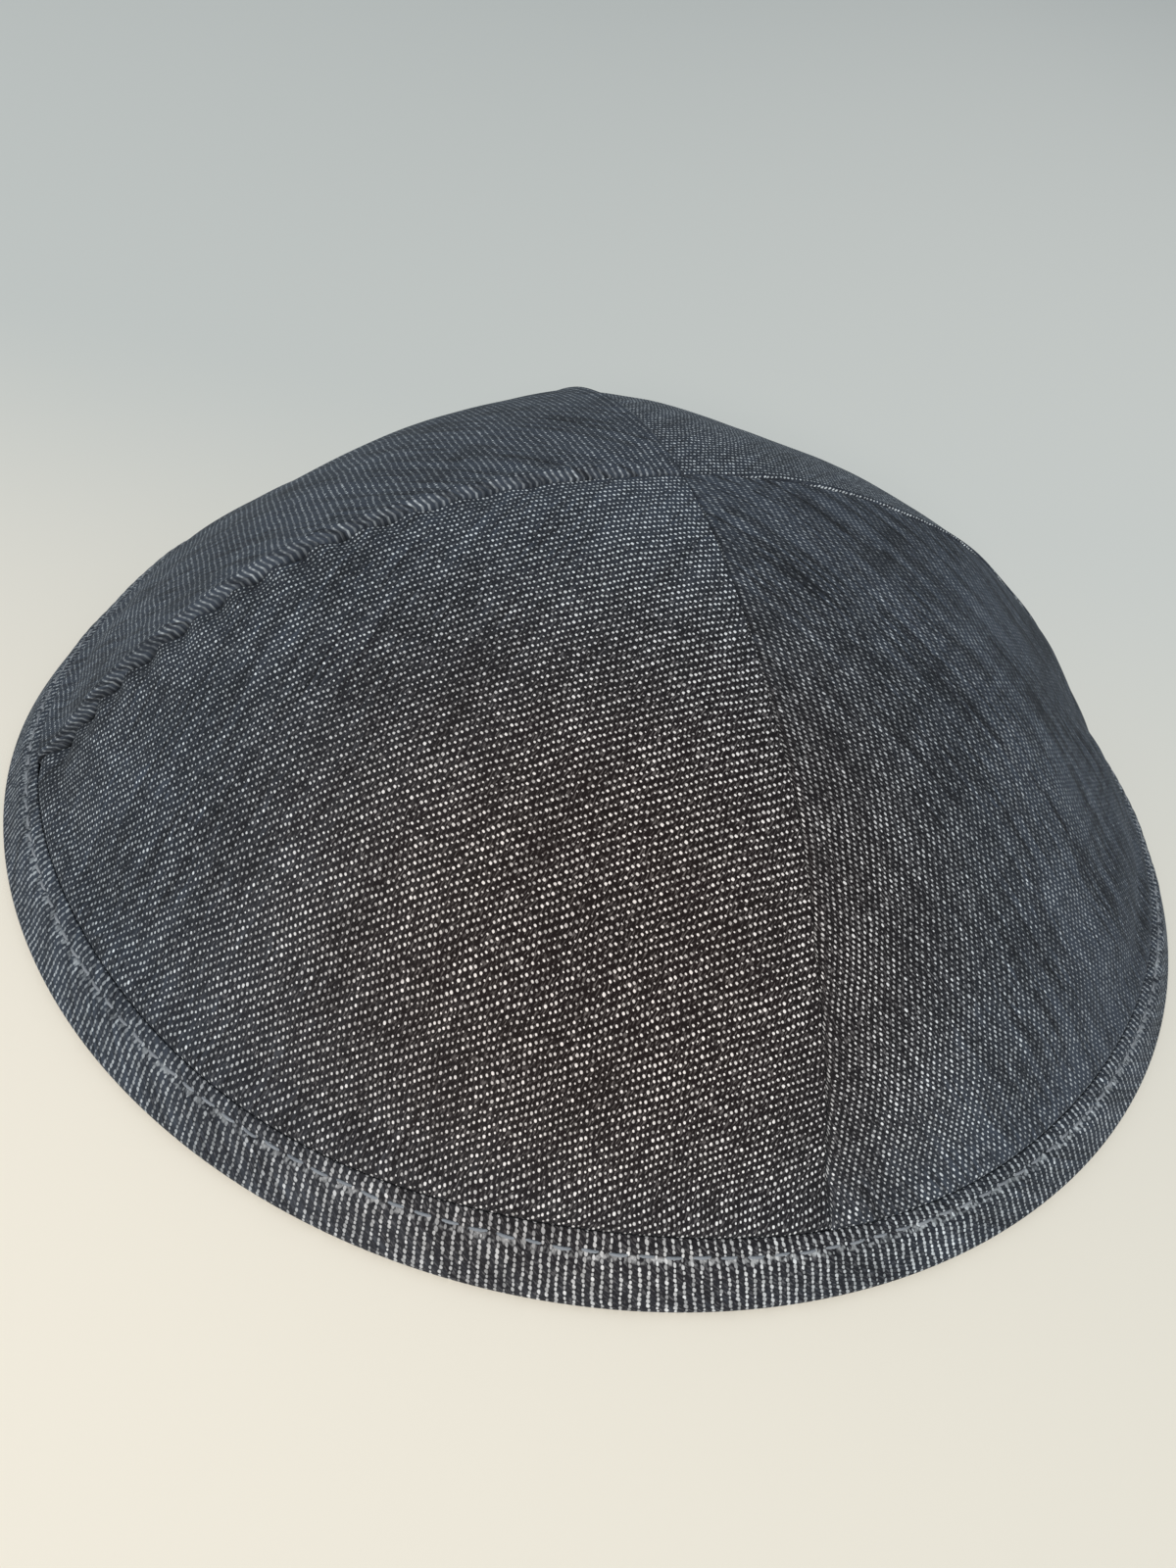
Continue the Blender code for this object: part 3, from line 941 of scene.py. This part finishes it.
def denim(
    name,
    turn=0.0,
    squeeze=(1.0, 1.0),
    dot=(0.158, 0.145),
    dot_turn=0.0,
    dot_swing=0.0,
    pale=1.0,
    hairs=1.0,
    streaks=0.3,
    painted_shade_slope=0.0,
    painted_crown_light=0.0,
    sheen_veil=0.0,
    tufts=None,
):
    """Warp-faced twill: dark warp with a pale weft dot at each crossing, in millimetres.

    turn is the weave's angle on the piece, squeeze scales the piece's coordinates first,
    dot holds a dot's half sizes along and across the weft before dot_turn turns it,
    dot_swing is how much further it is turned high on the piece than low,
    pale, hairs and streaks are how strong the dots, the stray fibres and the streaks are; pale, set
    gore by gore, is painted shade as well, painted_shade_slope is painted shade and light, how much
    paler the cloth gets per metre across the piece, and painted_crown_light is painted light, how
    much paler it gets round the apex, sheen_veil is a painted sheen, how far a bluish veil lightens
    the cloth away from one place in front, and tufts is the line of pale tufts that the stitches pull
    up.
    """
    graph = Graph(name)
    times, plus, minus, m = graph.times, graph.plus, graph.minus, graph.math
    uv = graph.nodes.new("ShaderNodeUVMap")
    uv.uv_map = "cloth"
    u, v, _ = graph.split(uv.outputs[0])
    u = times(u, MM_PER_METRE * squeeze[0])
    v = times(v, MM_PER_METRE * squeeze[1])
    a = plus(times(u, math.cos(turn)), times(v, math.sin(turn)))
    b = minus(times(v, math.cos(turn)), times(u, math.sin(turn)))
    drift_a = graph.centred(graph.noise(graph.vector(a, b), DRIFT_SCALE), DRIFT)
    drift_b = graph.centred(graph.noise(graph.vector(a, b, DRIFT_SEED), DRIFT_SCALE), DRIFT)
    a = plus(a, drift_a)
    b = plus(b, drift_b)

    column = m("ROUND", m("DIVIDE", a, WARP_PITCH))
    off_a = minus(a, times(column, WARP_PITCH))
    shifted = minus(b, times(column, WEFT_PITCH))
    place = m("ROUND", m("DIVIDE", shifted, DOT_STEP))
    off_b = minus(shifted, times(place, DOT_STEP))
    weft_thread = plus(column, times(place, REPEAT_WEFTS))
    chance = graph.random(graph.vector(column, place))
    bright = graph.random(graph.vector(column, place, BRIGHT_SEED))[0]
    warp_sway = graph.cloth_noise(column, b, *WARP_SWAY)
    weft_sway = graph.cloth_noise(a, weft_thread, *WEFT_SWAY)
    jitter_a = plus(graph.centred(chance[0], JITTER_A[0]), graph.centred(warp_sway, JITTER_A[1]))
    jitter_b = plus(graph.centred(chance[1], JITTER_B[0]), graph.centred(weft_sway, JITTER_B[1]))
    dot_a = plus(off_a, jitter_a)
    dot_b = plus(off_b, jitter_b)

    angle = plus(dot_turn, times(graph.smoothstep(v, *SWING_HEIGHTS), dot_swing))
    cosine = m("COSINE", angle)
    sine = m("SINE", angle)
    across = plus(times(dot_a, cosine), times(dot_b, sine))
    upright = minus(times(dot_b, cosine), times(dot_a, sine))
    thickness = graph.cloth_noise(a, weft_thread, *WEFT_THICKNESS)
    size = plus(plus(DOT_LEAST, times(thickness, DOT_BY_THREAD)), times(chance[2], DOT_BY_CHANCE))
    across = m("POWER", m("ABSOLUTE", m("DIVIDE", across, times(size, dot[0]))), DOT_POWER)
    upright = m("POWER", m("ABSOLUTE", m("DIVIDE", upright, times(size, dot[1]))), DOT_POWER)
    ring = m("POWER", plus(across, upright), 1 / DOT_POWER)
    weft_shows = minus(1.0, graph.smoothstep(ring, *DOT_EDGE))
    clear_of_dot = graph.smoothstep(ring, *DOT_SURROUND)

    turned_in = graph.nodes.new("ShaderNodeAttribute")
    turned_in.attribute_name = "fold"
    fold = turned_in.outputs["Fac"]
    diagonal = m("DIVIDE", minus(b, times(a, WEFT_PITCH / WARP_PITCH)), DOT_STEP)
    tooth = graph.random(graph.vector(m("ROUND", diagonal), TOOTH_SEED))[0]
    teeth = graph.smoothstep(m("COSINE", times(diagonal, 2 * math.pi)), *TOOTH_EDGE)
    teeth = times(teeth, plus(TOOTH_LEAST, times(tooth, TOOTH_BY_CHANCE)))
    teeth = times(teeth, plus(TOOTH_PLAIN, times(weft_shows, TOOTH_BY_DOT)))
    weft_shows = plus(times(weft_shows, minus(1.0, fold)), times(teeth, fold))

    noises = (
        graph.cloth_noise(column, b, *WARP_STREAK),
        graph.cloth_noise(a, b, *BROAD_WARP),
        graph.cloth_noise(a, b, *BROAD_WEFT),
        graph.noise(graph.vector(a, b, CLOUD_SEED), CLOUD_SCALE),
    )
    parts = [times(noise, share) for noise, share in zip(noises, STREAK_SHARES)]
    streak = plus(plus(parts[0], parts[1]), plus(parts[2], parts[3]))
    slub = graph.smoothstep(graph.cloth_noise(a, b, *SLUB), *SLUB_EDGE)
    # Painted shade and light: the tone grows paler across the piece towards one side and darker
    # towards the other, and paler round the apex
    tone = plus(plus(1.0, times(u, painted_shade_slope * MM)), times(graph.smoothstep(v, *CROWN_HEIGHTS), painted_crown_light))
    tone = plus(tone, times(minus(streak, STREAK_MIDDLE), STREAK_GAIN * streaks))
    tone = plus(tone, times(slub, SLUB_GAIN * streaks))
    # Painted warm light: a warm tint round one place in front, dying away with distance from it
    painted_warm_light = minus(1.0, graph.smoothstep(graph.away_from(WARM_LIGHT_PLACE), WARM_LIGHT_NEAR, WARM_LIGHT_FAR))
    # Painted sheen: a bluish veil that lightens the blacks and dims the dots, growing with distance
    # from another place in front
    painted_sheen = times(graph.smoothstep(graph.away_from(SHEEN_FREE_PLACE), SHEEN_FREE_NEAR, SHEEN_FREE_FAR), sheen_veil)

    hair = graph.smoothstep(graph.cloth_noise(a, b, *HAIR), *HAIR_EDGE)
    hair = times(times(hair, clear_of_dot), hairs)
    fine = graph.cloth_noise(a, b, *FINE_FIBRE)
    if tufts:
        band = minus(1.0, graph.smoothstep(m("ABSOLUTE", minus(v, tufts)), *TUFT_BAND))
        patches = graph.smoothstep(graph.cloth_noise(u, v, *TUFT_PATCHES), *TUFT_EDGE)
        tuft = times(times(band, patches), plus(TUFT_LEAST, times(fine, TUFT_BY_FIBRE)))
        weft_shows = m("MAXIMUM", weft_shows, tuft)
    # The fibres, the warp, the sheen veil and the weft take their warm colours where the painted warm
    # light lies
    fibres = graph.mix(painted_warm_light, HAIR_COOL, HAIR_WARM)
    warp = graph.mix(times(hair, tone), graph.mix(painted_warm_light, WARP_COOL, WARP_WARM), fibres)
    # The painted sheen veil lies over the warp, thickest where the tone is high
    sheen_cover = m("MULTIPLY", times(painted_sheen, SHEEN_ON_WARP), m("POWER", tone, 2.0), clamp=True)
    warp = graph.mix(sheen_cover, warp, graph.mix(painted_warm_light, SHEEN_VEIL_COOL, SHEEN_VEIL_WARM))
    weft = graph.mix(painted_warm_light, WEFT_COOL, WEFT_WARM)
    # The dots' shine carries the gore's painted shade and is dimmed under the painted sheen veil
    shine = plus(plus(SHINE_LEAST, times(fine, SHINE_BY_FIBRE)), times(bright, SHINE_BY_CHANCE))
    shine = times(times(shine, pale), minus(1.0, times(painted_sheen, SHEEN_ON_WEFT)))
    shows = m("MULTIPLY", times(weft_shows, tone), shine, clamp=True)

    rib = plus(0.5, times(m("COSINE", times(off_a, 2 * math.pi / WARP_PITCH)), 0.5))
    relief = plus(m("MAXIMUM", times(rib, RIB_SHARE), weft_shows), times(hair, HAIR_SHARE))
    graph.bump(relief, WEAVE_DEPTH, WEAVE_STRENGTH)
    graph.shader.inputs["Sheen Weight"].default_value = 0.05
    graph.shader.inputs["Sheen Roughness"].default_value = 0.45
    graph.shader.inputs["Sheen Tint"].default_value = SHEEN_TINT
    return graph.finish(graph.mix(shows, warp, weft), roughness=0.95, specular=0.08)


THREAD_DARK = (0.080, 0.092, 0.112, 1)
THREAD_PALE = (0.290, 0.315, 0.350, 1)
FIBRE_SCALE = 6000.0
THREAD_TONE_SCALE = 300.0


def thread():
    """Matt slate-blue sewing thread."""
    graph = Graph("slate_thread")
    place = graph.nodes.new("ShaderNodeTexCoord").outputs["Object"]
    fibre = graph.noise(place, FIBRE_SCALE)
    tone = graph.noise(place, THREAD_TONE_SCALE, 1.0)
    share = graph.math("ADD", graph.times(fibre, 0.5), graph.times(tone, 0.5), clamp=True)
    graph.bump(fibre, 0.03 * MM, 0.6)
    return graph.finish(graph.mix(share, THREAD_DARK, THREAD_PALE), roughness=0.85, specular=0.15)


# The floor's tones, near and far, left and right, tuned until its render came close to
# the brightness measured in the photograph's background, its corners among the places measured.
# They blend into each other over these distances, in metres beside and beyond the cap as the
# camera sees it
# These tones are painted light: the near ones, the left most of all, brighter and warmer, the far
# ones darker and cooler, as the lamp's fall-off leaves a floor
FLOOR_NEAR_LEFT = (0.92, 0.86, 0.755, 1)
FLOOR_NEAR_RIGHT = (0.76, 0.74, 0.67, 1)
FLOOR_FAR_LEFT = (0.57, 0.60, 0.595, 1)
FLOOR_FAR_RIGHT = (0.63, 0.655, 0.645, 1)
FLOOR_BESIDE = (-0.15, 0.20)
FLOOR_BEYOND = (-0.10, 0.12)
SIGHT_X = 0.40
SIGHT_Y = 0.92


def floor_material():
    graph = Graph("pale_floor")
    place = graph.nodes.new("ShaderNodeTexCoord").outputs["Object"]
    x, y, _ = graph.split(place)
    beyond = graph.plus(graph.times(x, SIGHT_X), graph.times(y, SIGHT_Y))
    beside = graph.minus(graph.times(x, SIGHT_Y), graph.times(y, SIGHT_X))
    across = graph.smoothstep(beside, *FLOOR_BESIDE)
    near = graph.mix(across, FLOOR_NEAR_LEFT, FLOOR_NEAR_RIGHT)
    far = graph.mix(across, FLOOR_FAR_LEFT, FLOOR_FAR_RIGHT)
    # Painted light: the colour runs from the bright warm near tones to the dim cool far ones
    colour = graph.mix(graph.smoothstep(beyond, *FLOOR_BEYOND), near, far)
    return graph.finish(colour, roughness=0.75, specular=0.15)


# Stage, light and camera

FLOOR_REACH = 6.0
FLOOR_DROP = 0.05 * MM
KEY_PLACE = (-1.34, -2.56, 1.98)
KEY_SIZE = 1.8
KEY_POWER = 131.0
KEY_COLOUR = (1.0, 0.95, 0.88)
ROOM_COLOUR = (0.84, 0.92, 0.97, 1)
ROOM_STRENGTH = 0.46


def make_stage():
    reach = FLOOR_REACH
    corners = [(-reach, -reach, 0), (reach, -reach, 0), (reach, reach, 0), (-reach, reach, 0)]
    mesh = bpy.data.meshes.new("floor")
    mesh.from_pydata(corners, [], [(0, 1, 2, 3)])
    mesh.materials.append(floor_material())
    floor = bpy.data.objects.new("floor", mesh)
    floor.location.z = -FLOOR_DROP
    bpy.context.scene.collection.objects.link(floor)


def make_lights():
    """One large soft lamp that faces the cap, and a cool even room."""
    data = bpy.data.lights.new("key", "AREA")
    data.shape = "DISK"
    data.size = KEY_SIZE
    data.energy = KEY_POWER
    data.color = KEY_COLOUR
    lamp = bpy.data.objects.new("key", data)
    lamp.location = KEY_PLACE
    lamp.rotation_euler = (-Vector(KEY_PLACE)).to_track_quat("-Z", "Y").to_euler()
    bpy.context.scene.collection.objects.link(lamp)
    world = bpy.data.worlds.new("soft_room")
    world.use_nodes = True
    background = world.node_tree.nodes["Background"]
    background.inputs["Color"].default_value = ROOM_COLOUR
    background.inputs["Strength"].default_value = ROOM_STRENGTH
    bpy.context.scene.world = world


def make_camera():
    sight = Vector((math.sin(-CAMERA_AZIMUTH), math.cos(CAMERA_AZIMUTH), 0.0))
    side = Vector((sight.y, -sight.x, 0.0))
    back = -sight * math.cos(CAMERA_ELEVATION) + Vector((0, 0, math.sin(CAMERA_ELEVATION)))
    up = back.cross(side)
    right = side * math.cos(CAMERA_ROLL) + up * math.sin(CAMERA_ROLL)
    top = up * math.cos(CAMERA_ROLL) - side * math.sin(CAMERA_ROLL)
    data = bpy.data.cameras.new("camera")
    data.sensor_width = SENSOR_MM
    data.lens = FOCAL_PIXELS * SENSOR_MM / PHOTO_LONG_SIDE
    data.clip_start = 1 * MM
    camera = bpy.data.objects.new("camera", data)
    turn = Matrix((right, top, back)).transposed()
    camera.matrix_world = Matrix.Translation(CAMERA_TARGET + back * CAMERA_DISTANCE) @ turn.to_4x4()
    bpy.context.scene.collection.objects.link(camera)
    bpy.context.scene.camera = camera


def main():
    make_camera()
    # Each gore has its own copy of the twill: their dot strengths differ as painted shade, lower on
    # gores turned from the lamp, and their slopes across the piece, brightening round the apex and
    # bluish veils paint shade, light and sheen on them
    looks = {
        "panel_front": denim(
            "front_twill",
            dot=(0.176, 0.130),
            dot_turn=math.radians(-68),
            dot_swing=math.radians(55),
            pale=0.77,
            streaks=0.75,
            painted_shade_slope=2.5,
            painted_crown_light=0.45,
            sheen_veil=0.6,
        ),
        "panel_right": denim(
            "right_twill",
            dot=(0.118, 0.220),
            dot_turn=math.radians(10),
            pale=0.47,
            streaks=1.2,
            painted_shade_slope=-8.0,
            sheen_veil=1.1,
        ),
        "panel_back": denim("back_twill", pale=1.15, streaks=0.5, sheen_veil=0.8),
        "panel_left": denim("left_twill", pale=0.84, streaks=0.9, sheen_veil=1.0),
    }
    for node, middle, low_lift, high_lift in GORES:
        make_gore(node, middle, low_lift, high_lift, looks[node])
    diagonal = math.atan2(WARP_PITCH, WEFT_PITCH)
    # The binding's dot strength and bluish veil are painted shade and painted sheen, as on the gores
    bias = denim(
        "bias_twill",
        turn=diagonal + math.radians(7),
        squeeze=BIAS_SQUEEZE,
        dot=(0.160, 0.270),
        dot_turn=-diagonal,
        pale=0.66,
        hairs=1.2,
        streaks=0.6,
        sheen_veil=0.9,
        tufts=TUFT_LINE * BIAS_SQUEEZE[1],
    )
    make_binding(bias)
    make_stitches(thread())
    make_stage()
    make_lights()
    bpy.context.scene.view_settings.view_transform = "Standard"


main()
